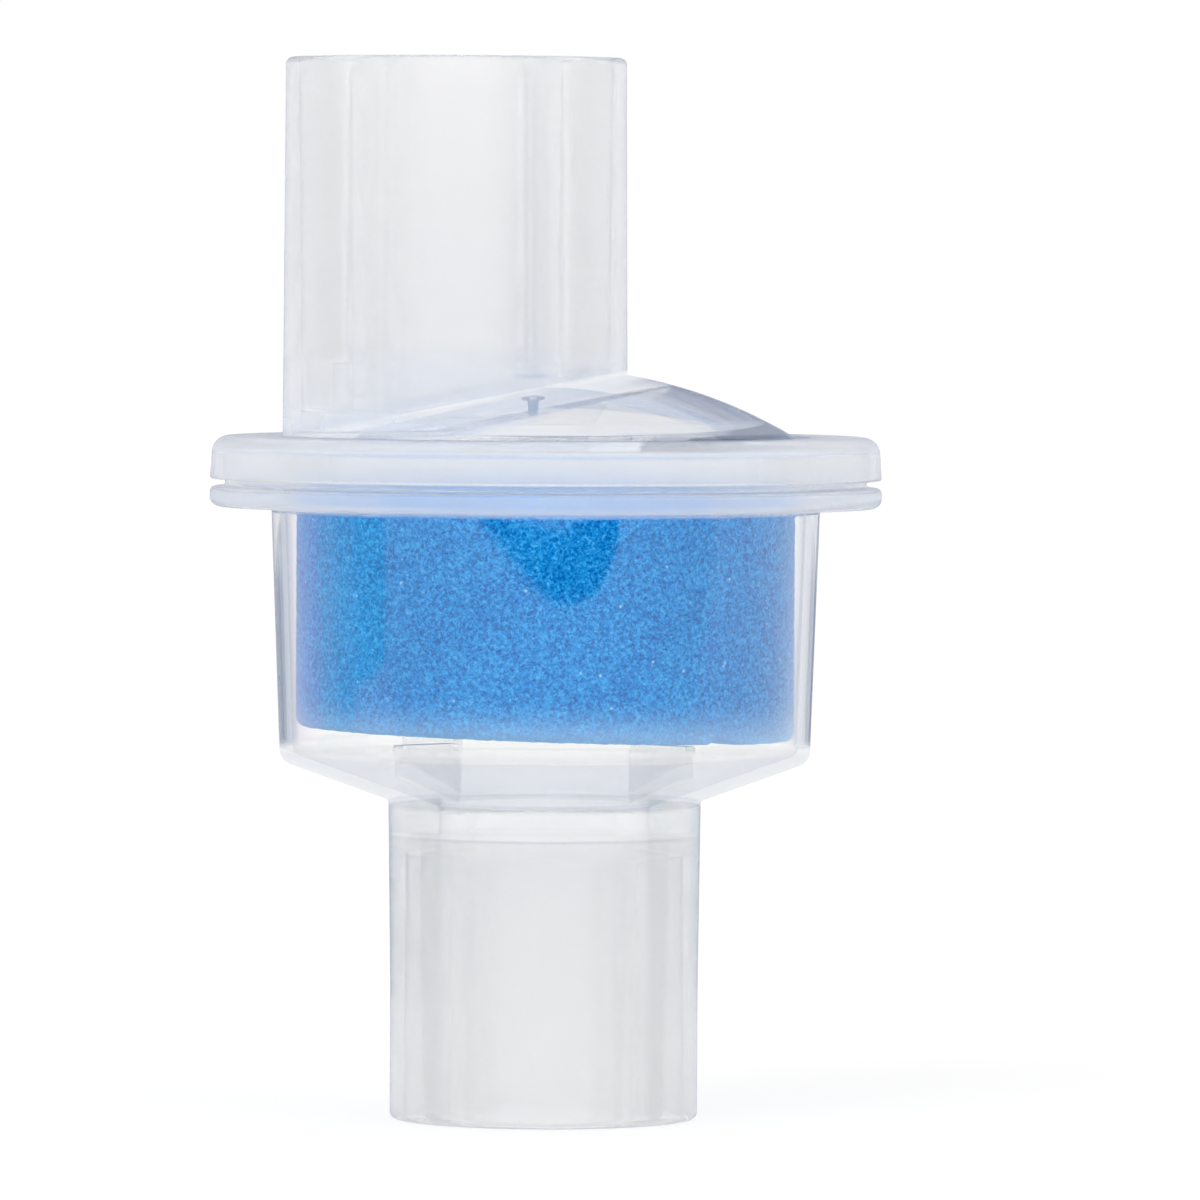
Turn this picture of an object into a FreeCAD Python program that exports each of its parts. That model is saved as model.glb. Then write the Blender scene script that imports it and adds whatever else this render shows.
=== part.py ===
"""Heat and moisture exchanger for a breathing circuit, in millimetres.

The origin is on the chamber's axis, in the plane of the lower port's open end, which is the foot that
the part stands on. +Z runs up through the chamber. The upper port is offset towards -X.
"""

import FreeCAD
import Part

import math
import os

V = FreeCAD.Vector

# Coaxial connectors. A cone's radius changes by half of the taper on its diameter.
CONE_SLOPE = 1 / 40 / 2
MALE_22_TIP_R = 11.0
SOCKET_22_MOUTH_R = 11.235
SOCKET_22_TAPER_L = 16.0
MALE_15_TIP_R = 7.6
MALE_15_TAPER_L = 15.0
SOCKET_15_MOUTH_R = 7.735
SOCKET_15_TAPER_L = 16.0

# Lower port.
LOWER_PORT_L = 22.8
LOWER_PORT_LEAD = 9.5
LOWER_PORT_WALL = 1.0
LOWER_INNER_TIP_R = 8.5
LOWER_INNER_DRAFT = 1.0
LOWER_GAP_DRAFT = 0.3
LOWER_GAP_DEPTH = 20.3

# Chamber of the lower housing.
FLOOR_ANGLE = 20.0
FLOOR_T = 0.8
CHAMBER_FOOT_R = 18.94
CHAMBER_H = 18.1
CHAMBER_DRAFT = 2.1
CHAMBER_WALL = 0.95

# Support ribs on the chamber's floor.
RIB_COUNT = 4
RIB_FIRST_ANGLE = 45.0
RIB_INNER_R = 9.0
RIB_OUTER_R = 14.4
RIB_T = 1.0
RIB_TOP_RISE = 1.5
RIB_ROOT_DEPTH = 0.4

# Rim joint: the lower flange and ring, and the upper plate and skirt.
RIM_R = 24.0
FLANGE_T = 1.45
RING_WALL = 1.0
RING_SIDE_CLEARANCE = 0.12
RING_TOP_CLEARANCE = 0.05
SKIRT_GAP = 0.55
SKIRT_WALL = 0.95
SKIRT_H = 3.05
SKIRT_DRAFT = 4.0
PLATE_T = 0.8

# Dome, which rises from the plate's top face.
DOME_OUTER_SPHERE_R = 34.7
DOME_INNER_SPHERE_R = 27.3
DOME_RISE = 4.9
DOME_CROWN_T = 1.4
PEG_X = -0.9
PEG_Y = -6.0
PEG_L = 1.27
PEG_TIP_R = 0.3
PEG_ROOT_R = 0.5
PEG_ROOT_DEPTH = 0.6

# Upper port.
UPPER_PORT_X = -6.5
UPPER_PORT_L = 27.0
UPPER_TUBE_TIP_R = 12.17
UPPER_TUBE_ROOT_R = 12.32
UPPER_BORE_R = 6.4
UPPER_ROOT_DEPTH = 0.4
TIP_CHAMFER_L = 1.4
TIP_CHAMFER_R = 0.3

# Foam plug. Its lower face is measured on the axis, above the ribs' tops.
FOAM_R = 17.75
FOAM_RIB_CLEARANCE = 0.6
FOAM_TILT = 1.6
FOAM_TOP_DROP = 0.1

# Roundings.
LIP_ROUND = 0.5
BORE_ROUND = 0.25
INNER_ROUND = 0.4
CHAMBER_FOOT_ROUND = 1.1
RIM_TOP_ROUND = 1.2
FLANGE_FOOT_ROUND = 0.7
SMALL_ROUND = 0.15


def tan(degrees):
    return math.tan(math.radians(degrees))


# Radii that follow from the sizes above.
LOWER_ROOT_R = MALE_22_TIP_R + (LOWER_PORT_L - LOWER_PORT_LEAD) * CONE_SLOPE
LOWER_BORE_R = SOCKET_15_MOUTH_R - SOCKET_15_TAPER_L * CONE_SLOPE
SKIRT_INNER_R = RIM_R - SKIRT_WALL
RING_R = SKIRT_INNER_R - RING_SIDE_CLEARANCE


def floor_under_z(r):
    """Height of the chamber floor's underside, a cone that rises from the port's root."""
    return LOWER_PORT_L + (r - LOWER_ROOT_R) * tan(FLOOR_ANGLE)


def floor_top_z(r):
    return floor_under_z(r) + FLOOR_T / math.cos(math.radians(FLOOR_ANGLE))


# Heights, one on top of another.
CHAMBER_FOOT_Z = floor_under_z(CHAMBER_FOOT_R)
RIB_TOP_Z = CHAMBER_FOOT_Z + RIB_TOP_RISE
FLANGE_Z = CHAMBER_FOOT_Z + CHAMBER_H
FLANGE_TOP_Z = FLANGE_Z + FLANGE_T
SKIRT_Z = FLANGE_TOP_Z + SKIRT_GAP
PLATE_TOP_Z = SKIRT_Z + SKIRT_H
PLATE_Z = PLATE_TOP_Z - PLATE_T
RING_TOP_Z = PLATE_Z - RING_TOP_CLEARANCE
DOME_OUTER_TOP_Z = PLATE_TOP_Z + DOME_RISE
DOME_OUTER_CENTRE_Z = DOME_OUTER_TOP_Z - DOME_OUTER_SPHERE_R
DOME_INNER_CENTRE_Z = DOME_OUTER_TOP_Z - DOME_CROWN_T - DOME_INNER_SPHERE_R
UPPER_PORT_TOP_Z = PLATE_TOP_Z + UPPER_PORT_L


def chamber_r(z):
    """Outer radius of the drafted chamber wall."""
    return CHAMBER_FOOT_R + (z - CHAMBER_FOOT_Z) * tan(CHAMBER_DRAFT)


def rounded_face(corners):
    """A face in the XZ plane from its corners (r, z, rounding), in order around it."""
    count = len(corners)
    points = [V(r, 0, z) for r, z, _ in corners]
    bends = []
    for i, (_, _, rounding) in enumerate(corners):
        back = (points[i - 1] - points[i]).normalize()
        ahead = (points[(i + 1) % count] - points[i]).normalize()
        half_angle = back.getAngle(ahead) / 2
        reach = rounding / math.tan(half_angle)
        start = points[i] + back * reach
        end = points[i] + ahead * reach
        middle = points[i]
        if rounding:
            middle += (back + ahead).normalize() * (rounding / math.sin(half_angle) - rounding)
        bends.append((start, middle, end))
    edges = []
    for i, (start, middle, end) in enumerate(bends):
        if corners[i][2]:
            edges.append(Part.Arc(start, middle, end).toShape())
        edges.append(Part.makeLine(end, bends[(i + 1) % count][0]))
    return Part.Face(Part.Wire(edges))


def turned(corners):
    """The solid that the outline of these corners sweeps around Z."""
    return rounded_face(corners).revolve(V(0, 0, 0), V(0, 0, 1), 360)


def inner_corner():
    """Radius and height at which the chamber's inner wall meets the top of its floor."""
    slope = tan(FLOOR_ANGLE)
    wall_foot_r = chamber_r(0) - CHAMBER_WALL
    r = (wall_foot_r + floor_top_z(0) * tan(CHAMBER_DRAFT)) / (1 - slope * tan(CHAMBER_DRAFT))
    return r, floor_top_z(r)


def lower_shell():
    """Port, chamber, flange and ring of the lower housing, as one turned wall."""
    inner_root_r = LOWER_INNER_TIP_R + LOWER_GAP_DEPTH * tan(LOWER_INNER_DRAFT)
    gap_mouth_r = MALE_22_TIP_R - LOWER_PORT_WALL
    gap_root_r = gap_mouth_r - LOWER_GAP_DEPTH * tan(LOWER_GAP_DRAFT)
    corner_r, corner_z = inner_corner()
    return turned([
        (SOCKET_15_MOUTH_R, 0, BORE_ROUND),
        (LOWER_INNER_TIP_R, 0, BORE_ROUND),
        (inner_root_r, LOWER_GAP_DEPTH, INNER_ROUND),
        (gap_root_r, LOWER_GAP_DEPTH, INNER_ROUND),
        (gap_mouth_r, 0, BORE_ROUND),
        (MALE_22_TIP_R, 0, LIP_ROUND),
        (MALE_22_TIP_R, LOWER_PORT_LEAD, 0),
        (LOWER_ROOT_R, LOWER_PORT_L, INNER_ROUND),
        (CHAMBER_FOOT_R, CHAMBER_FOOT_Z, CHAMBER_FOOT_ROUND),
        (chamber_r(FLANGE_Z), FLANGE_Z, INNER_ROUND),
        (RIM_R, FLANGE_Z, FLANGE_FOOT_ROUND),
        (RIM_R, FLANGE_TOP_Z, INNER_ROUND),
        (RING_R, FLANGE_TOP_Z, SMALL_ROUND),
        (RING_R, RING_TOP_Z, INNER_ROUND),
        (RING_R - RING_WALL, RING_TOP_Z, SMALL_ROUND),
        (RING_R - RING_WALL, FLANGE_TOP_Z, INNER_ROUND),
        (chamber_r(FLANGE_TOP_Z) - CHAMBER_WALL, FLANGE_TOP_Z, INNER_ROUND),
        (corner_r, corner_z, INNER_ROUND),
        (LOWER_BORE_R, floor_top_z(LOWER_BORE_R), INNER_ROUND),
        (LOWER_BORE_R, SOCKET_15_TAPER_L, 0),
    ])


def support_rib(angle):
    """A radial rib whose sloping foot is let into the chamber's floor."""
    face = rounded_face([
        (RIB_INNER_R, floor_top_z(RIB_INNER_R) - RIB_ROOT_DEPTH, 0),
        (RIB_OUTER_R, floor_top_z(RIB_OUTER_R) - RIB_ROOT_DEPTH, 0),
        (RIB_OUTER_R, RIB_TOP_Z, SMALL_ROUND),
        (RIB_INNER_R, RIB_TOP_Z, SMALL_ROUND),
    ])
    face.translate(V(0, -RIB_T / 2, 0))
    rib = face.extrude(V(0, RIB_T, 0))
    rib.rotate(V(0, 0, 0), V(0, 0, 1), angle)
    return rib


def lower_housing():
    housing = lower_shell()
    for i in range(RIB_COUNT):
        housing = housing.fuse(support_rib(RIB_FIRST_ANGLE + i * 360 / RIB_COUNT))
    return housing


def rim_cap():
    """The flat top plate with its skirt, closed in the middle until the dome is opened."""
    skirt_top_r = RIM_R - SKIRT_H * tan(SKIRT_DRAFT)
    return turned([
        (0, PLATE_Z, 0),
        (SKIRT_INNER_R, PLATE_Z, SMALL_ROUND),
        (SKIRT_INNER_R, SKIRT_Z, SMALL_ROUND),
        (RIM_R, SKIRT_Z, SMALL_ROUND),
        (skirt_top_r, PLATE_TOP_Z, RIM_TOP_ROUND),
        (0, PLATE_TOP_Z, 0),
    ])


def dome_cap():
    """The part of the dome's outer sphere above the underside of the plate."""
    sphere = Part.makeSphere(DOME_OUTER_SPHERE_R, V(0, 0, DOME_OUTER_CENTRE_Z))
    above = Part.makeCylinder(RIM_R, DOME_OUTER_TOP_Z, V(0, 0, PLATE_Z))
    return sphere.common(above)


def upper_outer_tube():
    """Wall of the 22 mm socket, from inside the plate up to its lip."""
    z = PLATE_TOP_Z - UPPER_ROOT_DEPTH
    bore_r = SOCKET_22_MOUTH_R - SOCKET_22_TAPER_L * CONE_SLOPE
    tube = turned([
        (bore_r, z, 0),
        (UPPER_TUBE_ROOT_R, z, 0),
        (UPPER_TUBE_TIP_R, UPPER_PORT_TOP_Z, LIP_ROUND),
        (SOCKET_22_MOUTH_R, UPPER_PORT_TOP_Z, BORE_ROUND),
        (bore_r, UPPER_PORT_TOP_Z - SOCKET_22_TAPER_L, 0),
    ])
    tube.translate(V(UPPER_PORT_X, 0, 0))
    return tube


def upper_inner_tube():
    """The 15 mm male cone, which ends level with the socket around it."""
    z = PLATE_TOP_Z - UPPER_ROOT_DEPTH
    root_r = MALE_15_TIP_R + MALE_15_TAPER_L * CONE_SLOPE
    tube = turned([
        (UPPER_BORE_R, z, 0),
        (root_r, z, 0),
        (root_r, UPPER_PORT_TOP_Z - MALE_15_TAPER_L, 0),
        (MALE_15_TIP_R + TIP_CHAMFER_L * CONE_SLOPE, UPPER_PORT_TOP_Z - TIP_CHAMFER_L, SMALL_ROUND),
        (MALE_15_TIP_R - TIP_CHAMFER_R, UPPER_PORT_TOP_Z, SMALL_ROUND),
        (UPPER_BORE_R, UPPER_PORT_TOP_Z, BORE_ROUND),
    ])
    tube.translate(V(UPPER_PORT_X, 0, 0))
    return tube


def peg():
    """Small tapered peg under the dome, rooted in the dome's wall."""
    dome_z = DOME_INNER_CENTRE_Z + math.sqrt(DOME_INNER_SPHERE_R ** 2 - PEG_X ** 2 - PEG_Y ** 2)
    tip = V(PEG_X, PEG_Y, dome_z - PEG_L)
    return Part.makeCone(PEG_TIP_R, PEG_ROOT_R, PEG_L + PEG_ROOT_DEPTH, tip)


def upper_housing():
    hollow = Part.makeSphere(DOME_INNER_SPHERE_R, V(0, 0, DOME_INNER_CENTRE_Z))
    bore = Part.makeCylinder(UPPER_BORE_R, UPPER_PORT_TOP_Z, V(UPPER_PORT_X, 0, 0))
    closed = rim_cap().multiFuse([dome_cap(), upper_outer_tube(), upper_inner_tube()])
    return closed.cut(hollow).cut(bore).fuse(peg())


def foam():
    """A plug whose lower face is tilted, down towards +X, because it sits slightly askew."""
    top = FLANGE_TOP_Z - FOAM_TOP_DROP
    plug = Part.makeCylinder(FOAM_R, top, V(0, 0, 0))
    spare = Part.makeBox(4 * FOAM_R, 4 * FOAM_R, top, V(-2 * FOAM_R, -2 * FOAM_R, -top))
    spare.rotate(V(0, 0, 0), V(0, 1, 0), FOAM_TILT)
    spare.translate(V(0, 0, RIB_TOP_Z + FOAM_RIB_CLEARANCE))
    return plug.cut(spare)


def write(shape, node):
    """Check that the shape is one sound solid, and write it as a STEP file."""
    solid = shape.removeSplitter().Solids[0]
    if len(shape.Solids) != 1 or not solid.isValid():
        raise ValueError(node + " isn't one valid solid")
    solid.exportStep("parts/" + node + ".step")


os.makedirs("parts", exist_ok=True)
write(upper_housing(), "upper_housing")
write(lower_housing(), "lower_housing")
write(foam(), "foam")
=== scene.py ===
"""Looks, stage and camera for a clear heat and moisture exchanger with a blue foam plug, in metres."""

import math

import bpy
from bpy.props import FloatProperty, FloatVectorProperty, IntProperty, PointerProperty
from mathutils import Matrix, Vector


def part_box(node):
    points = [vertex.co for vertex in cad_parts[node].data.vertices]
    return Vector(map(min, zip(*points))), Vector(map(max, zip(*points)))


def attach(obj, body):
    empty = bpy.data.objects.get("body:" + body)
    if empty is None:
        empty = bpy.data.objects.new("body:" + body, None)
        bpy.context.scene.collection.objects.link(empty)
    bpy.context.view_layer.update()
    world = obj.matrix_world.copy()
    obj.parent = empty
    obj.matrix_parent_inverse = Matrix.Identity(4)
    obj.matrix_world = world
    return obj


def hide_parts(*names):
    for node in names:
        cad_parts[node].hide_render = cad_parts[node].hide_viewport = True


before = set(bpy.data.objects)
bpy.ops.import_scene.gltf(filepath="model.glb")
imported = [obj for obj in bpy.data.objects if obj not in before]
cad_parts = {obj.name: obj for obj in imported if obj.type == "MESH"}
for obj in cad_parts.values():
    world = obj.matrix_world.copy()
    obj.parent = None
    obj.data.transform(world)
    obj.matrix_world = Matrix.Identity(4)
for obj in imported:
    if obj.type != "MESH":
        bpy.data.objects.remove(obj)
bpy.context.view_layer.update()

bl_info = {
    "name": "Heat and moisture exchanger",
    "version": (1, 0, 0),
    "blender": (4, 5, 0),
    "location": "3D View > Sidebar > Exchanger",
    "description": "Clear housings, a foam plug and a pale studio for a breathing-circuit part",
    "category": "Object",
}

MM = 0.001
FOAM_LOW, FOAM_HIGH = (Vector(corner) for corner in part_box("foam"))
HOUSINGS = ("upper_housing", "lower_housing")

# Places on the housings: the upper port's axis, the peg, and the centres of the dome's two spheres.
PORT_X = -6.5 * MM
PEG_XY = (-0.9 * MM, -6.0 * MM)
DOME_HOLLOW_Z = 25.0 * MM
DOME_CENTRE_Z = 19.0 * MM

# Where the lower housing's finish changes: heights, or distances from its axis, between which a
# region fades in or out.
GAP_ROOT_START = (18.7 * MM, 19.0 * MM)
GAP_ROOT_END = (20.7 * MM, 20.4 * MM)
WITHIN_PORT_WALL = (10.8 * MM, 10.5 * MM)
CONE_START = (22.3 * MM, 22.5 * MM)
# The neck line is a thin ring of painted shade.
NECK_LINE_START = (22.4 * MM, 22.5 * MM)
NECK_LINE_END = (22.8 * MM, 22.7 * MM)
WALL_START = (26.4 * MM, 27.2 * MM)
WALL_END = (43.8 * MM, 43.2 * MM)
FLANGE_START = (43.2 * MM, 43.8 * MM)
RING_START = (44.9 * MM, 45.1 * MM)

# The same for the upper housing. OFF_PORT and NEAR_PORT are distances from the port's axis, the
# dome's two radii are distances from its spheres' centres, and PEG_SIDE is one from the peg's axis.
# HOLLOW_INSET is how much sooner the thin region ends on the dome's inner face.
PLATE_START = (47.5 * MM, 48.0 * MM)
DOME_FOOT_START = (48.9 * MM, 49.2 * MM)
DOME_FOOT_END = (51.0 * MM, 50.3 * MM)
RIM_END = (50.6 * MM, 49.6 * MM)
PORT_FOOT_END = (55.5 * MM, 54.0 * MM)
DOME_FOOT_INNER_R = (15.0 * MM, 16.0 * MM)
DOME_FOOT_OUTER_R = (18.0 * MM, 17.6 * MM)
RIM_INNER_R = (17.5 * MM, 19.0 * MM)
DOME_EDGE_R = (20.0 * MM, 18.5 * MM)
OFF_PORT = (13.0 * MM, 14.2 * MM)
NEAR_PORT = (15.9 * MM, 15.4 * MM)
PEG_SIDE = (0.9 * MM, 0.7 * MM)
DOME_HOLLOW_R = (28.4 * MM, 28.0 * MM)
DOME_OUTER_R = (35.1 * MM, 34.85 * MM)
HOLLOW_INSET = 2.5 * MM

# Milkiness of single regions, as multiples of the rim's.
FLANGE_MILK = 1.9
RING_MILK = 0.7
PLATE_MILK = 1.8
PORT_FOOT_MILK = 0.5
DOME_FOOT_MILK = 2.2

# Share of the painted edge shade on the peg, and what the faint line of painted shade round the neck
# has of it.
PEG_SHADE = 0.35
NECK_LINE_SHADE = 0.4

# The foam's textures: features to a cell's width, how much each adds to the surface's height or
# colour, and where the colours stand on the ramp. STRAND_WIDTH and GLINT_EDGE are spans of the
# textures' own values.
CELL_SCALE, GRAIN_SCALE, VEIN_SCALE, DRIFT_SCALE, GLINT_SCALE = 1.3, 1.4, 1.35, 0.08, 0.22
WALL_WEIGHT, GRAIN_WEIGHT, STRAND_WEIGHT, DRIFT_WEIGHT, GLINT_WEIGHT = 0.25, 0.5, 0.3, 0.14, 0.8
STRAND_WIDTH = 0.09
GLINT_EDGE = (0.075, 0.045)
PIT_STOP, BODY_STOP, STRUT_STOP, STRAND_STOP = 0.38, 0.52, 0.68, 0.84

# The rib that dents the foam: its bearing from +X, how far from the axis the dent starts and over
# what length it deepens, and the rib's half width and the width of the dent's soft sides.
RIB_ANGLE = math.radians(-45)
RIB_START, RIB_BLEND = 8 * MM, 2 * MM
RIB_HALF_WIDTH, RIB_SIDE = 0.7 * MM, 0.7 * MM

# The stage: half the floor's width, the distances between which its glow changes to the far level,
# the point that the lamps face, and how many surfaces a ray may pass and still see a card.
FLOOR_REACH = 3.0
FLOOR_FADE = (0.1, 1.2)
MIDDLE = Vector((0, 0, 40 * MM))
FIRST_WALL_DEPTH = 2.5

# Cards on the floor: name, bearings in degrees from the front towards the left, nearest and farthest
# reach from the part's axis in metres, and colour. The first three tint the foam's left side, the
# lilac one its left edge, and the others the edges of the chamber's wall.
SECTORS = (
    ("side_card", (71, 88), 0.35, 1.3, (0.4, 0.9, 0.95)),
    ("side_middle_card", (88, 100), 0.32, 1.3, (0.58, 0.95, 0.97)),
    ("side_far_card", (100, 112), 0.3, 1.3, (0.78, 1.0, 0.98)),
    ("lilac_card", (112, 138), 0.12, 1.0, (0.95, 0.88, 1.0)),
    ("left_card", (138, 153), 0.12, 1.0, (0.68, 0.72, 0.79)),
    ("back_left_card", (153, 167), 0.12, 1.0, (0.36, 0.42, 0.5)),
    ("back_right_card", (184, 202), 0.12, 1.0, (0.6, 0.63, 0.7)),
    ("right_card", (202, 222), 0.12, 1.0, (0.85, 0.87, 0.92)),
)


class PlasticLook(bpy.types.PropertyGroup):
    """The clear moulded plastic of both housings."""

    tint: FloatVectorProperty(
        name="Tint", description="Light that one surface of the plastic lets through",
        subtype="COLOR", size=3, min=0, max=1, default=(0.984, 0.984, 0.986))
    milk: FloatVectorProperty(
        name="Milkiness", description="Colour of the haze in the plastic",
        subtype="COLOR", size=3, min=0, max=1, default=(0.96, 0.957, 0.955))
    haze: FloatProperty(
        name="Haze", description="Share of light that one hazy surface scatters",
        min=0, max=1, default=0.07)
    rim_haze: FloatProperty(
        name="Rim haze", description="The same share on the thick joint round the rim",
        min=0, max=1, default=0.2)
    leak: FloatProperty(
        name="Straight light", description="Share of light that passes a hazy surface unbent",
        min=0, max=1, default=0.42)
    thin_leak: FloatProperty(
        name="Thin wall", description="The same share on the lower cone and on the dome by the port",
        min=0, max=1, default=0.88)
    clear_haze: FloatProperty(
        name="Clear haze", description="Share of light that one polished surface scatters",
        min=0, max=1, default=0.001)
    # Painted shade: the edge colour is a dark blue-grey that the next four settings mix in where the
    # walls are seen edge-on, standing in for the dark lines at clear plastic's edges.
    edge: FloatVectorProperty(
        name="Edge colour", description="Colour of the walls where they are seen edge-on",
        subtype="COLOR", size=3, min=0, max=1, default=(0.33, 0.38, 0.5))
    edge_haze: FloatProperty(
        name="Edge haze", description="Share of light that a surface scatters when seen edge-on",
        min=0, max=1, default=0.9)
    edge_power: FloatProperty(
        name="Edge narrowness", description="How quickly that share falls as a surface turns to face",
        min=1, default=6.0)
    dull_edge: FloatProperty(
        name="Dull edge", description="What a hazy surface has of the edge haze",
        min=0, max=1, default=0.5)
    thin_edge: FloatProperty(
        name="Thin edge", description="What a thin surface loses of the edge haze",
        min=0, max=1, default=0.45)
    thin_clearing: FloatProperty(
        name="Thin clearing", description="What a thin surface loses of the haze",
        min=0, max=1, default=0.6)
    roughness: FloatProperty(
        name="Roughness", description="How much the moulded surface blurs what is behind it",
        min=0, max=1, default=0.16)
    clear_roughness: FloatProperty(
        name="Clear roughness", description="The same blur where the mould is polished",
        min=0, max=1, default=0.025)
    ior: FloatProperty(
        name="Refraction", description="Refractive index of the plastic", min=1, max=2, default=1.5)


class FoamLook(bpy.types.PropertyGroup):
    """The open-cell foam plug."""

    # The next four colours run up the ramp by the height that the bump follows: the foam's own blue,
    # darkened as painted shade down in the cells and lightened as painted highlight on the raised
    # struts and strands.
    strand_highlight: FloatVectorProperty(
        name="Strands", description="Colour of the thin strands that catch the light",
        subtype="COLOR", size=3, min=0, max=1, default=(0.09, 0.52, 0.94))
    strut: FloatVectorProperty(
        name="Struts", description="Colour of the foam's raised cell walls",
        subtype="COLOR", size=3, min=0, max=1, default=(0.012, 0.36, 0.86))
    body: FloatVectorProperty(
        name="Body", description="Colour of the foam between its cells",
        subtype="COLOR", size=3, min=0, max=1, default=(0.0, 0.25, 0.72))
    pit_shade: FloatVectorProperty(
        name="Cells", description="Colour down in the open cells",
        subtype="COLOR", size=3, min=0, max=1, default=(0.0, 0.125, 0.48))
    # The glints are painted highlight that pale towards this colour too.
    pale: FloatVectorProperty(
        name="Lower edge", description="Colour towards which the foam pales at its lower edge",
        subtype="COLOR", size=3, min=0, max=1, default=(0.45, 0.68, 0.92))
    paling: FloatProperty(
        name="Paling", description="How far the foam pales at its lower edge",
        min=0, max=1, default=0.55)
    pale_height: FloatProperty(
        name="Paling height", description="How far up the foam pales", subtype="DISTANCE",
        unit="LENGTH", default=4.5 * MM)
    cell: FloatProperty(
        name="Cell size", description="Width of one open cell", subtype="DISTANCE", unit="LENGTH",
        default=0.4 * MM)
    relief: FloatProperty(
        name="Relief", description="Depth of the cells in the plug's surface", subtype="DISTANCE",
        unit="LENGTH", default=0.1 * MM)
    round: FloatProperty(
        name="Edge rounding", description="Rounding of the plug's soft edges", subtype="DISTANCE",
        unit="LENGTH", default=0.6 * MM)
    tilt: FloatProperty(
        name="Tilt", description="Slant of the lower face, down towards +X", subtype="ANGLE",
        unit="ROTATION", default=math.radians(1.6))
    dent: FloatProperty(
        name="Dent", description="How far a support rib presses into the lower edge",
        subtype="DISTANCE", unit="LENGTH", default=0.35 * MM)
    seed: IntProperty(name="Seed", description="Picks another scatter of cells", default=3)


class StageLook(bpy.types.PropertyGroup):
    """Pale floor, soft light and the camera of the photograph."""

    level: FloatProperty(
        name="Light level", description="Brightness of the even studio light", min=0, default=0.95)
    distance: FloatProperty(
        name="Camera distance", description="From the part's axis to the camera",
        subtype="DISTANCE", unit="LENGTH", default=0.8)
    height: FloatProperty(
        name="Camera height", description="Above the floor", subtype="DISTANCE", unit="LENGTH",
        default=63.5 * MM)
    lens: FloatProperty(
        name="Lens", description="Focal length on a 36 mm wide sensor, in millimetres", default=336)
    aim: FloatVectorProperty(
        name="Aim", description="Point at the middle of the picture", subtype="TRANSLATION",
        unit="LENGTH", size=3, default=(3.9 * MM, 0, 37.1 * MM))
    roll: FloatProperty(
        name="Roll", description="Turn of the picture about its middle", subtype="ANGLE",
        unit="ROTATION", default=math.radians(0.25))
    floor_level: FloatProperty(
        name="Floor level", description="Glow of the floor round the part", min=0, default=0.655)
    far_floor_level: FloatProperty(
        name="Far floor level", description="Glow of the floor away from it", min=0, default=0.73)
    floor_edge: FloatProperty(
        name="Dark card's near edge", description="Where the dark card in front of the part starts",
        subtype="DISTANCE", unit="LENGTH", default=0.36)
    floor_edge_far: FloatProperty(
        name="Dark card's far edge", description="Where the dark card in front of the part ends",
        subtype="DISTANCE", unit="LENGTH", default=0.5)

GROUPS = {"exchanger_plastic": PlasticLook, "exchanger_foam": FoamLook, "exchanger_stage": StageLook}


def new_material(name):
    """An empty node material, and its tree."""
    material = bpy.data.materials.new(name)
    material.use_nodes = True
    material.node_tree.nodes.clear()
    return material, material.node_tree


def add(tree, kind, **settings):
    """A node of this kind with its properties set."""
    node = tree.nodes.new(kind)
    for name, value in settings.items():
        setattr(node, name, value)
    return node


def math_node(tree, operation, *values):
    """The output of a Math node whose inputs are sockets or numbers."""
    node = add(tree, "ShaderNodeMath", operation=operation)
    for socket, value in zip(node.inputs, values):
        if isinstance(value, bpy.types.NodeSocket):
            tree.links.new(value, socket)
        else:
            socket.default_value = value
    return node.outputs[0]


def product(tree, *factors):
    """The product of sockets and numbers."""
    result = factors[0]
    for factor in factors[1:]:
        result = math_node(tree, "MULTIPLY", result, factor)
    return result


def sees_background(tree):
    """1 for camera, glossy and transmission rays, which all see the bright backdrop."""
    path = add(tree, "ShaderNodeLightPath")
    glossy = math_node(tree, "MAXIMUM", path.outputs["Is Camera Ray"], path.outputs["Is Glossy Ray"])
    return math_node(tree, "MAXIMUM", glossy, path.outputs["Is Transmission Ray"])


def mix_shaders(tree, factor, first, second):
    """A Mix Shader's output for the two shader outputs."""
    mix = add(tree, "ShaderNodeMixShader")
    tree.links.new(factor, mix.inputs[0])
    tree.links.new(first, mix.inputs[1])
    tree.links.new(second, mix.inputs[2])
    return mix.outputs[0]


def fade(tree, value, start, end):
    """0 at the start and 1 at the end, eased between them, whichever of the two is higher."""
    node = add(tree, "ShaderNodeMapRange", interpolation_type="SMOOTHSTEP")
    node.inputs["From Min"].default_value = start
    node.inputs["From Max"].default_value = end
    tree.links.new(value, node.inputs["Value"])
    return node.outputs["Result"]


def axis_distance(tree, x, y, axis_x, axis_y):
    """Distance from an upright axis."""
    squares = []
    for value, centre in ((x, axis_x), (y, axis_y)):
        offset = math_node(tree, "SUBTRACT", value, centre)
        squares.append(product(tree, offset, offset))
    return math_node(tree, "SQRT", math_node(tree, "ADD", *squares))


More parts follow.
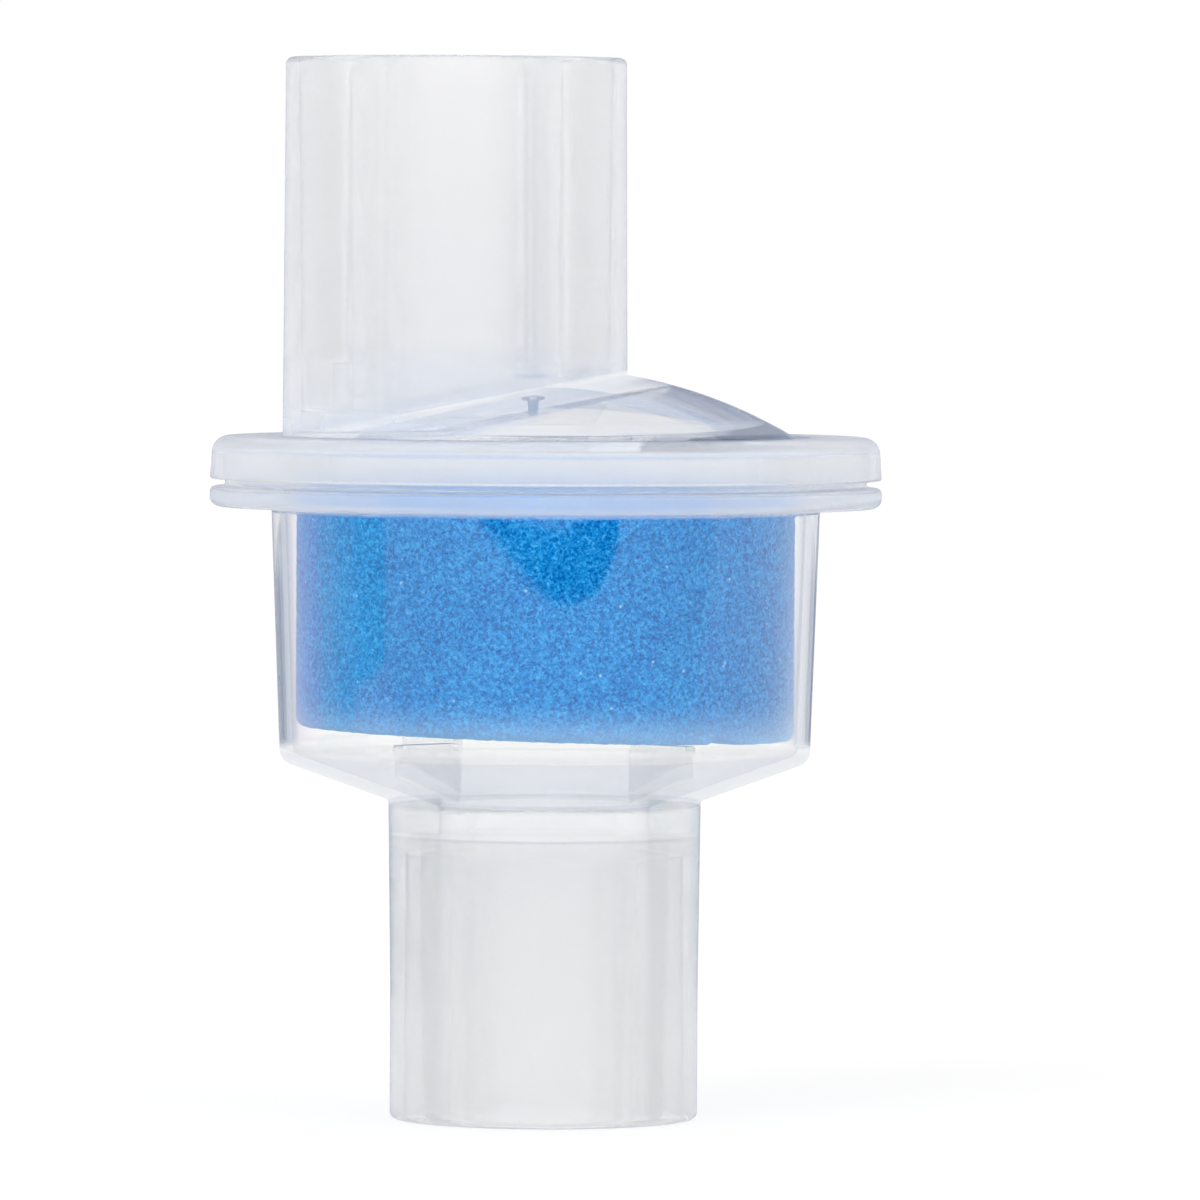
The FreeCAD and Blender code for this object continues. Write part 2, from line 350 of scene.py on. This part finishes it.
def lower_regions(tree, x, y, z):
    """Where the lower housing is polished, milky, thin and lined with painted shade round the neck, by
    its coordinates.
    """
    above_floor = fade(tree, z, *WALL_START)
    polished = product(tree, above_floor, fade(tree, z, *WALL_END))
    in_flange = product(tree, fade(tree, z, *FLANGE_START), FLANGE_MILK)
    in_ring = product(tree, fade(tree, z, *RING_START), FLANGE_MILK - RING_MILK)
    milky = math_node(tree, "SUBTRACT", in_flange, in_ring)
    off_axis = axis_distance(tree, x, y, 0.0, 0.0)
    gap_root = product(tree, fade(tree, z, *GAP_ROOT_START), fade(tree, z, *GAP_ROOT_END),
                       fade(tree, off_axis, *WITHIN_PORT_WALL))
    in_cone = math_node(tree, "SUBTRACT", fade(tree, z, *CONE_START), above_floor)
    thin = math_node(tree, "MAXIMUM", gap_root, in_cone)
    # Painted shade: a faint dark line round the neck.
    painted_neck_line = product(tree, fade(tree, z, *NECK_LINE_START), fade(tree, z, *NECK_LINE_END),
                        NECK_LINE_SHADE)
    return polished, milky, thin, painted_neck_line


def upper_regions(tree, x, y, z):
    """The same for the upper housing, whose painted shade is on the peg."""
    off_axis = axis_distance(tree, x, y, 0.0, 0.0)
    off_port_axis = axis_distance(tree, x, y, PORT_X, 0.0)
    off_port = fade(tree, off_port_axis, *OFF_PORT)
    on_dome = product(tree, off_port, fade(tree, off_axis, *DOME_EDGE_R))
    on_peg = fade(tree, axis_distance(tree, x, y, *PEG_XY), *PEG_SIDE)
    off_peg = math_node(tree, "SUBTRACT", 1.0, on_peg)
    polished = math_node(tree, "MAXIMUM", on_dome, on_peg)

    in_plate = product(tree, fade(tree, z, *PLATE_START), PLATE_MILK - 1)
    on_rim = product(tree, fade(tree, off_axis, *RIM_INNER_R), fade(tree, z, *RIM_END),
                     math_node(tree, "ADD", in_plate, 1.0))
    by_port = math_node(tree, "SUBTRACT", 1.0, math_node(tree, "MAXIMUM", off_port, on_peg))
    port_foot = product(tree, fade(tree, z, *PORT_FOOT_END), by_port, PORT_FOOT_MILK)
    dome_foot = product(tree, fade(tree, z, *DOME_FOOT_START), fade(tree, z, *DOME_FOOT_END),
                        fade(tree, off_axis, *DOME_FOOT_INNER_R),
                        fade(tree, off_axis, *DOME_FOOT_OUTER_R), DOME_FOOT_MILK)
    milky = math_node(tree, "MAXIMUM", math_node(tree, "MAXIMUM", on_rim, port_foot), dome_foot)

    in_hollow = fade(tree, axis_distance(tree, off_axis, z, 0.0, DOME_HOLLOW_Z), *DOME_HOLLOW_R)
    reach = math_node(tree, "ADD", off_port_axis, product(tree, in_hollow, HOLLOW_INSET))
    in_dome = fade(tree, axis_distance(tree, off_axis, z, 0.0, DOME_CENTRE_Z), *DOME_OUTER_R)
    thin = product(tree, fade(tree, reach, *NEAR_PORT), in_dome, off_peg)
    # on_peg also marks where the peg gets painted shade.
    return polished, milky, thin, on_peg


def mould_regions(tree, node):
    """Where the housing is polished, milky, thin and painted with shade. Only the milky mask may
    exceed 1.
    """
    place = add(tree, "ShaderNodeSeparateXYZ")
    tree.links.new(add(tree, "ShaderNodeTexCoord").outputs["Object"], place.inputs[0])
    regions = lower_regions if node == "lower_housing" else upper_regions
    return regions(tree, *place.outputs)


def scatter(tree, colour):
    """Light scattered half back and half onwards, as by haze in a thin wall."""
    half = add(tree, "ShaderNodeMixShader")
    half.inputs[0].default_value = 0.5
    for i, kind in enumerate(("ShaderNodeBsdfDiffuse", "ShaderNodeBsdfTranslucent")):
        shader = add(tree, kind)
        shader.inputs["Color"].default_value = (*colour, 1)
        tree.links.new(shader.outputs[0], half.inputs[i + 1])
    return half.outputs[0]


def plastic_material(look, node):
    """Clear plastic that refracts what is seen through it, hazy where its mould isn't polished, with
    painted shade where it is seen edge-on and in its dark places.
    """
    material, tree = new_material(node + "_plastic")
    # The last mask marks painted shade: the peg on the upper housing and the neck line on the lower.
    polished, milkiness, thin, dark = mould_regions(tree, node)
    dull = math_node(tree, "SUBTRACT", 1.0, polished)
    shader = add(tree, "ShaderNodeBsdfPrincipled")
    shader.inputs["Base Color"].default_value = (*look.tint, 1)
    shader.inputs["IOR"].default_value = look.ior
    shader.inputs["Transmission Weight"].default_value = 1
    blur = product(tree, dull, look.roughness - look.clear_roughness)
    blur = math_node(tree, "ADD", blur, look.clear_roughness)
    tree.links.new(blur, shader.inputs["Roughness"])
    clear = add(tree, "ShaderNodeBsdfTransparent")
    clear.inputs["Color"].default_value = (*look.tint, 1)
    leak = math_node(tree, "MAXIMUM", product(tree, dull, look.leak),
                     product(tree, thin, look.thin_leak))
    through = mix_shaders(tree, leak, shader.outputs[0], clear.outputs[0])
    share = math_node(tree, "SUBTRACT", dull, product(tree, thin, look.thin_clearing))
    share = product(tree, share, look.haze - look.clear_haze)
    milk_share = product(tree, milkiness, look.rim_haze - look.haze)
    share = math_node(tree, "ADD", math_node(tree, "ADD", share, milk_share), look.clear_haze)
    milky = mix_shaders(tree, share, through, scatter(tree, look.milk))
    # Painted shade: the dark edge colour is mixed in as the surface turns edge-on, and on the peg and
    # the neck line.
    facing = add(tree, "ShaderNodeLayerWeight").outputs["Facing"]
    kept = math_node(tree, "ADD", product(tree, polished, 1 - look.dull_edge), look.dull_edge)
    kept = math_node(tree, "SUBTRACT", kept, product(tree, thin, look.thin_edge))
    painted_edge_shade = product(tree, math_node(tree, "POWER", facing, look.edge_power), look.edge_haze, kept)
    painted_edge_shade = math_node(tree, "MAXIMUM", painted_edge_shade, product(tree, dark, PEG_SHADE))
    body = mix_shaders(tree, painted_edge_shade, milky, scatter(tree, look.edge))
    shadow = add(tree, "ShaderNodeLightPath").outputs["Is Shadow Ray"]
    output = add(tree, "ShaderNodeOutputMaterial")
    surface = mix_shaders(tree, shadow, body, clear.outputs[0])
    tree.links.new(surface, output.inputs["Surface"])
    return material


def texture(tree, kind, place, scale, **inputs):
    """A texture node laid out by these coordinates, with this many features to a metre."""
    node = add(tree, kind)
    tree.links.new(place, node.inputs["Vector"])
    node.inputs["Scale"].default_value = scale
    for name, value in inputs.items():
        node.inputs[name].default_value = value
    return node


def foam_material(look):
    """Blue foam: open cells darkened with painted shade, strands between them lightened with painted
    highlight, sparse painted glints, and a slow drift in the blue.
    """
    material, tree = new_material("blue_foam")
    place = add(tree, "ShaderNodeTexCoord").outputs["Object"]
    cells = texture(tree, "ShaderNodeTexVoronoi", place, CELL_SCALE / look.cell)
    grain = texture(tree, "ShaderNodeTexNoise", place, GRAIN_SCALE / look.cell,
                    Detail=3, Distortion=0.6)
    veins = texture(tree, "ShaderNodeTexNoise", place, VEIN_SCALE / look.cell,
                    Detail=2, Distortion=1)
    drift = texture(tree, "ShaderNodeTexNoise", place, DRIFT_SCALE / look.cell)
    glints = texture(tree, "ShaderNodeTexVoronoi", place, GLINT_SCALE / look.cell)
    walls = product(tree, cells.outputs["Distance"], WALL_WEIGHT)
    mottle = product(tree, grain.outputs[0], GRAIN_WEIGHT)
    off_vein = math_node(tree, "ABSOLUTE", math_node(tree, "SUBTRACT", veins.outputs[0], 0.5))
    strands = product(tree, fade(tree, off_vein, STRAND_WIDTH, 0.0), STRAND_WEIGHT)
    height = math_node(tree, "ADD", math_node(tree, "ADD", walls, mottle), strands)
    slow = product(tree, drift.outputs[0], DRIFT_WEIGHT)
    # Painted shade and highlight: the ramp darkens the sunk cells and lightens the raised strands.
    ramp = add(tree, "ShaderNodeValToRGB")
    stops = ramp.color_ramp.elements
    stops[0].position, stops[0].color = PIT_STOP, (*look.pit_shade, 1)
    stops[1].position, stops[1].color = STRAND_STOP, (*look.strand_highlight, 1)
    for position, colour in ((BODY_STOP, look.body), (STRUT_STOP, look.strut)):
        stops.new(position).color = (*colour, 1)
    tree.links.new(math_node(tree, "ADD", height, slow), ramp.inputs["Fac"])
    bump = add(tree, "ShaderNodeBump")
    bump.inputs["Strength"].default_value = 0.55
    bump.inputs["Distance"].default_value = look.relief
    tree.links.new(height, bump.inputs["Height"])
    upright = add(tree, "ShaderNodeSeparateXYZ")
    tree.links.new(place, upright.inputs[0])
    near_edge = fade(tree, upright.outputs[2], FOAM_LOW.z + look.pale_height, FOAM_LOW.z)
    # Inputs 6 and 7 and output 2 are this node's colour sockets.
    pale = add(tree, "ShaderNodeMix", data_type="RGBA")
    pale.inputs[7].default_value = (*look.pale, 1)
    paling = product(tree, near_edge, near_edge, look.paling)
    # Painted highlight: sparse glints paled towards the lower-edge colour.
    glint = product(tree, fade(tree, glints.outputs["Distance"], *GLINT_EDGE), GLINT_WEIGHT)
    tree.links.new(math_node(tree, "MAXIMUM", paling, glint), pale.inputs[0])
    tree.links.new(ramp.outputs["Color"], pale.inputs[6])
    shader = add(tree, "ShaderNodeBsdfPrincipled")
    shader.inputs["Roughness"].default_value = 0.95
    shader.inputs["Specular IOR Level"].default_value = 0.03
    tree.links.new(pale.outputs[2], shader.inputs["Base Color"])
    tree.links.new(bump.outputs["Normal"], shader.inputs["Normal"])
    output = add(tree, "ShaderNodeOutputMaterial")
    tree.links.new(shader.outputs[0], output.inputs["Surface"])
    return material


def smooth_step(edge, width, value):
    """0 below the edge, rising to 1 over the width."""
    t = min(max((value - edge) / width, 0), 1)
    return t * t * (3 - 2 * t)


def foam_outline(look):
    """Points (radius, share of the height, inset) from the lower face's middle to the top's."""
    radius = FOAM_HIGH.x
    cap_rings, corner_rings, side_rings, rounded_rings = 12, 4, 112, 4
    flat = radius - look.round
    points = [(flat * i / cap_rings, 0, 0) for i in range(1, cap_rings)]
    for i in range(corner_rings + 1):
        turn = math.radians(90) * i / corner_rings
        points.append((flat + look.round * math.sin(turn), 0, look.round * (1 - math.cos(turn))))
    points += [(radius, i / side_rings, 0)
               for i in range(rounded_rings, side_rings - rounded_rings + 1)]
    for i in range(corner_rings + 1):
        turn = math.radians(90) * i / corner_rings
        points.append((flat + look.round * math.cos(turn), 1, -look.round * (1 - math.sin(turn))))
    points += [(flat * i / cap_rings, 1, 0) for i in range(cap_rings - 1, 0, -1)]
    return points


def foam_low_z(look, x, y):
    """Height of the slanted lower face, with the dent where the front right rib meets its edge."""
    middle = FOAM_LOW.z + FOAM_HIGH.x * math.tan(look.tilt)
    along = x * math.cos(RIB_ANGLE) + y * math.sin(RIB_ANGLE)
    across = abs(y * math.cos(RIB_ANGLE) - x * math.sin(RIB_ANGLE))
    press = smooth_step(RIB_START, RIB_BLEND, along)
    press *= 1 - smooth_step(RIB_HALF_WIDTH, RIB_SIDE, across)
    return middle - x * math.tan(look.tilt) + look.dent * press


def foam_blank(look):
    """The plug's mesh before its surface gets its cells."""
    segments = 700
    verts, faces = [(0, 0, foam_low_z(look, 0, 0))], []
    outline = foam_outline(look)
    for r, share, inset in outline:
        for i in range(segments):
            turn = 2 * math.pi * i / segments
            x, y = r * math.cos(turn), r * math.sin(turn)
            low = foam_low_z(look, x, y)
            verts.append((x, y, low + share * (FOAM_HIGH.z - low) + inset))
    verts.append((0, 0, FOAM_HIGH.z))
    last = len(verts) - 1
    for ring in range(len(outline) - 1):
        start = 1 + ring * segments
        for i in range(segments):
            j = (i + 1) % segments
            faces.append((start + i, start + segments + i, start + segments + j, start + j))
    final = last - segments
    for i in range(segments):
        j = (i + 1) % segments
        faces.append((0, 1 + i, 1 + j))
        faces.append((last, final + j, final + i))
    mesh = bpy.data.meshes.new("foam_plug")
    mesh.from_pydata(verts, [], faces)
    mesh.validate()
    return mesh


def cell_tree():
    """Geometry nodes that sink open cells into a surface, along its normals."""
    tree = bpy.data.node_groups.new("Foam cells", "GeometryNodeTree")
    sockets = {}
    for name, kind in (("Geometry", "NodeSocketGeometry"), ("Cell size", "NodeSocketFloat"),
                       ("Relief", "NodeSocketFloat"), ("Seed", "NodeSocketFloat"),
                       ("Material", "NodeSocketMaterial")):
        sockets[name] = tree.interface.new_socket(name, in_out="INPUT", socket_type=kind).identifier
    tree.interface.new_socket("Geometry", in_out="OUTPUT", socket_type="NodeSocketGeometry")
    start, end = add(tree, "NodeGroupInput"), add(tree, "NodeGroupOutput")
    scale = math_node(tree, "DIVIDE", 1.0, start.outputs["Cell size"])
    cells = add(tree, "ShaderNodeTexVoronoi", voronoi_dimensions="4D", feature="SMOOTH_F1")
    cells.inputs["Smoothness"].default_value = 0.3
    tree.links.new(add(tree, "GeometryNodeInputPosition").outputs[0], cells.inputs["Vector"])
    tree.links.new(start.outputs["Seed"], cells.inputs["W"])
    tree.links.new(scale, cells.inputs["Scale"])
    near = math_node(tree, "SUBTRACT", 1.0, cells.outputs["Distance"])
    sink = math_node(tree, "MULTIPLY", near, start.outputs["Relief"])
    inward = add(tree, "ShaderNodeVectorMath", operation="SCALE")
    tree.links.new(add(tree, "GeometryNodeInputNormal").outputs[0], inward.inputs[0])
    tree.links.new(math_node(tree, "MULTIPLY", sink, -1.0), inward.inputs["Scale"])
    move = add(tree, "GeometryNodeSetPosition")
    realize = add(tree, "GeometryNodeRealizeInstances")
    paint = add(tree, "GeometryNodeSetMaterial")
    tree.links.new(start.outputs["Geometry"], move.inputs["Geometry"])
    tree.links.new(inward.outputs[0], move.inputs["Offset"])
    tree.links.new(move.outputs[0], realize.inputs[0])
    tree.links.new(realize.outputs[0], paint.inputs["Geometry"])
    tree.links.new(start.outputs["Material"], paint.inputs["Material"])
    tree.links.new(paint.outputs[0], end.inputs[0])
    return tree, sockets


def with_cells(blank, look, material):
    """A plain mesh of the blank with its cells sunk in."""
    holder = bpy.data.objects.new("foam_blank", blank)
    bpy.context.collection.objects.link(holder)
    tree, sockets = cell_tree()
    modifier = holder.modifiers.new("cells", "NODES")
    modifier.node_group = tree
    modifier[sockets["Cell size"]] = look.cell
    modifier[sockets["Relief"]] = look.relief
    modifier[sockets["Seed"]] = float(look.seed)
    modifier[sockets["Material"]] = material
    evaluated = holder.evaluated_get(bpy.context.evaluated_depsgraph_get())
    mesh = bpy.data.meshes.new_from_object(evaluated)
    bpy.data.objects.remove(holder)
    return mesh


class EXCHANGER_OT_housings(bpy.types.Operator):
    """Gives both moulded housings their clear plastic"""

    bl_idname = "exchanger.housings"
    bl_label = "Clear housings"

    def execute(self, context):
        for node in HOUSINGS:
            material = plastic_material(context.scene.exchanger_plastic, node)
            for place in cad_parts[node].material_slots:
                place.material = material
        return {"FINISHED"}


class EXCHANGER_OT_foam(bpy.types.Operator):
    """Builds the open-cell foam plug in place of its plain solid"""

    bl_idname = "exchanger.foam"
    bl_label = "Foam plug"

    def execute(self, context):
        look = context.scene.exchanger_foam
        mesh = with_cells(foam_blank(look), look, foam_material(look))
        mesh.polygons.foreach_set("use_smooth", [True] * len(mesh.polygons))
        plug = bpy.data.objects.new("foam_plug", mesh)
        context.collection.objects.link(plug)
        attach(plug, "root")
        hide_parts("foam")
        return {"FINISHED"}


def sheet(name, corners, material):
    """A flat stage piece."""
    mesh = bpy.data.meshes.new(name)
    mesh.from_pydata(corners, [], [range(len(corners))])
    mesh.materials.append(material)
    piece = bpy.data.objects.new(name, mesh)
    bpy.context.collection.objects.link(piece)
    return piece


def rectangle(left, right, low, high):
    """Corners of a level rectangle at the floor's height."""
    return [(left, low, 0), (right, low, 0), (right, high, 0), (left, high, 0)]


def front_edge(near, far):
    """Corners of the dark card in front of the part, whose near edge comes to a blunt point."""
    # Bearings in degrees from the front towards the right, and reach as a multiple of the nearest.
    left, right = -27, 31
    rays = ((left, 1.25), (-13, 1.105), (-4, 1.05), (6, 1.01), (20, 1.04), (28, 1.12), (right, 1.19),
            (right, far / near), (left, far / near))
    corners = []
    for bearing, reach in rays:
        turn = math.radians(bearing)
        corners.append((near * reach * math.sin(turn), -near * reach * math.cos(turn)))
    return corners


def sector(start, end, near, far):
    """Corners of a stretch of floor between two bearings, counted from the front towards the left."""
    corners = []
    for bearing, reach in ((start, far), (start, near), (end, near), (end, far)):
        turn = math.radians(bearing)
        corners.append((-reach * math.sin(turn), -reach * math.cos(turn)))
    return corners


def floor_material(near_level, far_level):
    """White to whatever looks at it, with the part's faint shadow, and plain pale to other light."""
    material, tree = new_material("pale_floor")
    plain = add(tree, "ShaderNodeBsdfDiffuse")
    plain.inputs["Color"].default_value = (0.9, 0.9, 0.9, 1)
    shaded = add(tree, "ShaderNodeBsdfDiffuse")
    shaded.inputs["Color"].default_value = (0.3, 0.3, 0.3, 1)
    glow = add(tree, "ShaderNodeEmission")
    place = add(tree, "ShaderNodeSeparateXYZ")
    tree.links.new(add(tree, "ShaderNodeTexCoord").outputs["Object"], place.inputs[0])
    away = axis_distance(tree, place.outputs[0], place.outputs[1], 0.0, 0.0)
    lift = product(tree, fade(tree, away, *FLOOR_FADE), far_level - near_level)
    tree.links.new(math_node(tree, "ADD", lift, near_level), glow.inputs["Strength"])
    seen = add(tree, "ShaderNodeAddShader")
    tree.links.new(shaded.outputs[0], seen.inputs[0])
    tree.links.new(glow.outputs[0], seen.inputs[1])
    output = add(tree, "ShaderNodeOutputMaterial")
    surface = mix_shaders(tree, sees_background(tree), plain.outputs[0], seen.outputs[0])
    tree.links.new(surface, output.inputs["Surface"])
    return material


def card_material(name, colour):
    """A shade that shows only where something mirrors it, on either face of a clear wall."""
    material, tree = new_material(name)
    shade = add(tree, "ShaderNodeEmission")
    shade.inputs["Color"].default_value = (*colour, 1)
    path = add(tree, "ShaderNodeLightPath")
    first_wall = math_node(tree, "LESS_THAN", path.outputs["Transmission Depth"], FIRST_WALL_DEPTH)
    mirrored = math_node(tree, "MINIMUM", path.outputs["Glossy Depth"], first_wall)
    unseen = add(tree, "ShaderNodeBsdfTransparent")
    output = add(tree, "ShaderNodeOutputMaterial")
    surface = mix_shaders(tree, mirrored, unseen.outputs[0], shade.outputs[0])
    tree.links.new(surface, output.inputs["Surface"])
    return material


def card(name, corners, colour):
    """A shade that nothing sees but the clear walls that mirror it."""
    shade = sheet(name, corners, card_material(name + "_shade", colour))
    shade.visible_camera = False
    shade.visible_diffuse = False
    shade.visible_shadow = False
    return shade


def floor_card(name, corners, colour, height=0.5 * MM):
    """A card that lies just above the floor."""
    return card(name, [(x, y, height) for x, y in corners], colour)


def light_world(level):
    """Even light from all round, and a white backdrop for the rays that see one."""
    world = bpy.data.worlds.new("studio")
    world.use_nodes = True
    tree = world.node_tree
    tree.nodes.clear()
    even, white = add(tree, "ShaderNodeBackground"), add(tree, "ShaderNodeBackground")
    for light, strength in ((even, level), (white, 1)):
        light.inputs["Color"].default_value = (1, 1, 1, 1)
        light.inputs["Strength"].default_value = strength
    output = add(tree, "ShaderNodeOutputWorld")
    surface = mix_shaders(tree, sees_background(tree), even.outputs[0], white.outputs[0])
    tree.links.new(surface, output.inputs["Surface"])
    bpy.context.scene.world = world


def soft_lamp(name, place, size, power):
    """A square area lamp turned towards the middle of the part."""
    light = bpy.data.lights.new(name, "AREA")
    light.size = size
    light.energy = power
    lamp = bpy.data.objects.new(name, light)
    lamp.location = place
    towards = MIDDLE - Vector(place)
    lamp.rotation_euler = towards.to_track_quat("-Z", "Y").to_euler()
    lamp.visible_glossy = False
    lamp.visible_transmission = False
    bpy.context.collection.objects.link(lamp)
    return lamp


def place_camera(look):
    """The camera of the photograph."""
    data = bpy.data.cameras.new("camera")
    data.lens = look.lens
    data.sensor_width = 36
    data.clip_start = 0.05
    data.clip_end = 20
    camera = bpy.data.objects.new("camera", data)
    bpy.context.collection.objects.link(camera)
    aim = Vector(look.aim)
    place = Vector((aim.x, -look.distance, look.height))
    turn = (aim - place).to_track_quat("-Z", "Y").to_matrix().to_4x4()
    camera.matrix_world = Matrix.Translation(place) @ turn @ Matrix.Rotation(look.roll, 4, "Z")
    bpy.context.scene.camera = camera


class EXCHANGER_OT_stage(bpy.types.Operator):
    """Lays the pale floor, lights it and places the camera"""

    bl_idname = "exchanger.stage"
    bl_label = "Stage and camera"

    def execute(self, context):
        look = context.scene.exchanger_stage
        floor = sheet("floor", rectangle(-FLOOR_REACH, FLOOR_REACH, -FLOOR_REACH, FLOOR_REACH),
                      floor_material(look.floor_level, look.far_floor_level))
        cards = [floor_card(name, sector(*bearings, near, far), colour)
                 for name, bearings, near, far, colour in SECTORS]
        cards += [
            floor_card("front_card", front_edge(look.floor_edge, look.floor_edge_far),
                       (0.01, 0.02, 0.03)),
            floor_card("ahead_card", [(-0.9, -1.2), (0.9, -1.2), (0.5, -0.12), (-0.5, -0.12)],
                       (0.86, 0.95, 0.87), height=0.25 * MM),
            card("dome_card", [(x, 0.75, z) for x, z, _ in rectangle(-0.85, 0.5, 0.13, 0.7)],
                 (0.46, 0.49, 0.58)),
        ]
        key = soft_lamp("key", (-0.5, -0.7, 0.6), size=0.6, power=5)
        fill = soft_lamp("fill", (0.7, -0.5, 0.4), size=0.6, power=3.5)
        light_world(look.level)
        place_camera(look)
        context.scene.view_settings.view_transform = "Standard"
        return {"FINISHED"}


OPERATORS = (EXCHANGER_OT_housings, EXCHANGER_OT_foam, EXCHANGER_OT_stage)


class EXCHANGER_PT_panel(bpy.types.Panel):
    """Lists the part's settings and the steps that build it"""

    bl_idname = "EXCHANGER_PT_panel"
    bl_label = "Heat and moisture exchanger"
    bl_space_type = "VIEW_3D"
    bl_region_type = "UI"
    bl_category = "Exchanger"

    def draw(self, context):
        for name, group in GROUPS.items():
            box = self.layout.box()
            for setting in group.__annotations__:
                box.prop(getattr(context.scene, name), setting)
        for operator in OPERATORS:
            self.layout.operator(operator.bl_idname)


CLASSES = (*GROUPS.values(), *OPERATORS, EXCHANGER_PT_panel)


def register():
    for cls in CLASSES:
        bpy.utils.register_class(cls)
    for name, group in GROUPS.items():
        setattr(bpy.types.Scene, name, PointerProperty(type=group))


def unregister():
    for name in GROUPS:
        delattr(bpy.types.Scene, name)
    for cls in reversed(CLASSES):
        bpy.utils.unregister_class(cls)


def main():
    register()
    bpy.ops.exchanger.housings()
    bpy.ops.exchanger.foam()
    bpy.ops.exchanger.stage()


if __name__ == "__main__":
    main()
